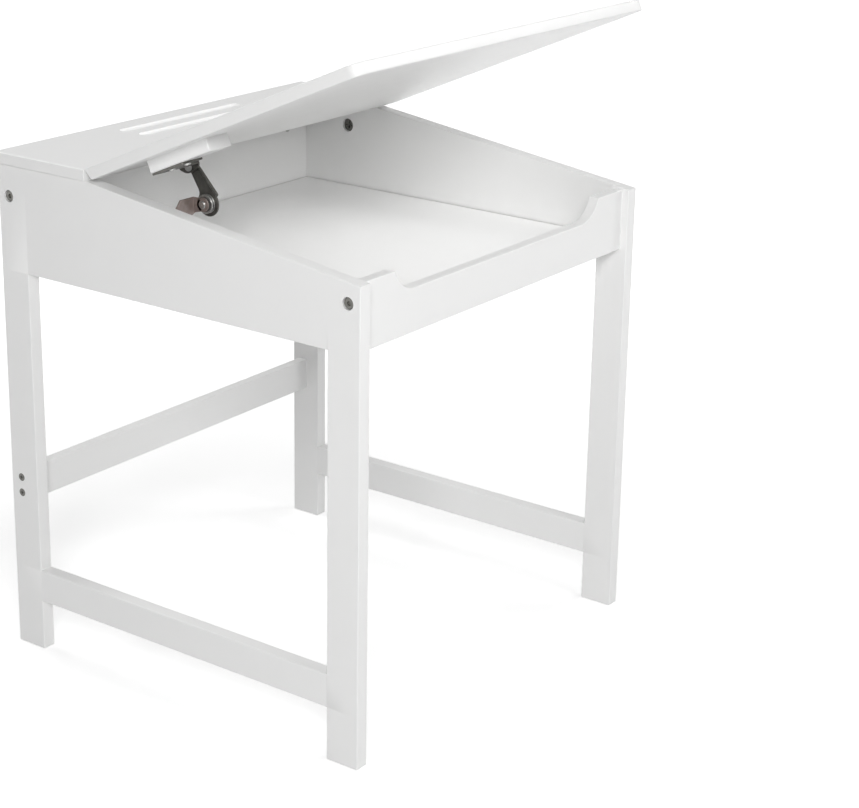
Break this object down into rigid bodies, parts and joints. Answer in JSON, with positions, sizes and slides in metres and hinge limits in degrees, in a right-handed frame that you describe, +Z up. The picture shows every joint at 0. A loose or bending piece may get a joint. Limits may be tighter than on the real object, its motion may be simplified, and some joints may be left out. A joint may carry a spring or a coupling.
{
  "type": "lift-top children's desk",
  "caption": "Small white desk with a raised, sloping lid on hinges over an open storage box, a fixed shelf with pencil grooves, four legs and a metal lid stay.",
  "frame": {"origin": "on the floor, in the middle of the footprint", "axes": "+X to the right of someone who faces the desk's front from the -Y side, +Y towards the shelf at the back, +Z up"},
  "size_m": [0.481, 0.458, 0.6763],
  "materials": {
    "white_lacquer": "satin white lacquer on fibreboard",
    "beech": "raw beech",
    "zinc_steel": "bright zinc plate",
    "brown_steel": "dull brownish plate",
    "dark_steel": "dark plate",
    "fibre": "matt fibre"
  },
  "bodies": {
    "desk": {"left_front_leg": "white_lacquer", "left_rear_leg": "white_lacquer", "left_side_panel": "white_lacquer", "left_lower_rail": "white_lacquer", "right_front_leg": "white_lacquer", "right_rear_leg": "white_lacquer", "right_side_panel": "white_lacquer", "right_lower_rail": "white_lacquer", "front_board": "white_lacquer", "back_board": "white_lacquer", "bottom_panel": "white_lacquer", "rear_stretcher": "white_lacquer", "top_shelf": "white_lacquer", "frame_dowels": "beech", "board_dowels": "beech", "floor_dowels": "beech", "shelf_dowels": "beech", "connector_bolts": "zinc_steel", "barrel_nuts": "zinc_steel", "stretcher_screws": "zinc_steel", "cam_locks": "zinc_steel", "cam_bolts": "zinc_steel", "hinge_fixed_leaves": "zinc_steel", "hinge_pins": "zinc_steel", "hinge_shelf_screws": "zinc_steel", "stay_base_screws": "zinc_steel", "stay_discs": "zinc_steel", "stay_rivet": "zinc_steel", "stay_base_bracket": "brown_steel", "stay_friction_rings": "fibre"},
    "lid": {"lid": "white_lacquer", "hinge_moving_leaves": "zinc_steel", "hinge_lid_screws": "zinc_steel", "stay_block": "white_lacquer", "block_screws": "zinc_steel", "stay_lid_bracket": "dark_steel", "stay_lid_screws": "zinc_steel"},
    "stay_arm": {"stay_arm": "dark_steel", "stay_pin": "zinc_steel"}
  },
  "joints": [
    {"name": "lid_hinge", "type": "hinge", "parent": "desk", "child": "lid", "pos_m": [0, 0.103, 0.533], "axis": [1, 0, 0], "range_deg": [0, 30.95]},
    {"name": "stay_pivot", "type": "hinge", "parent": "desk", "child": "stay_arm", "pos_m": [-0.154, 0.022, 0.49641], "axis": [1, 0, 0], "range_deg": [-41.8, 0]}
  ],
  "couplings": [
    {"joint": "stay_pivot", "follows": "lid_hinge", "ratio": -1.35}
  ]
}
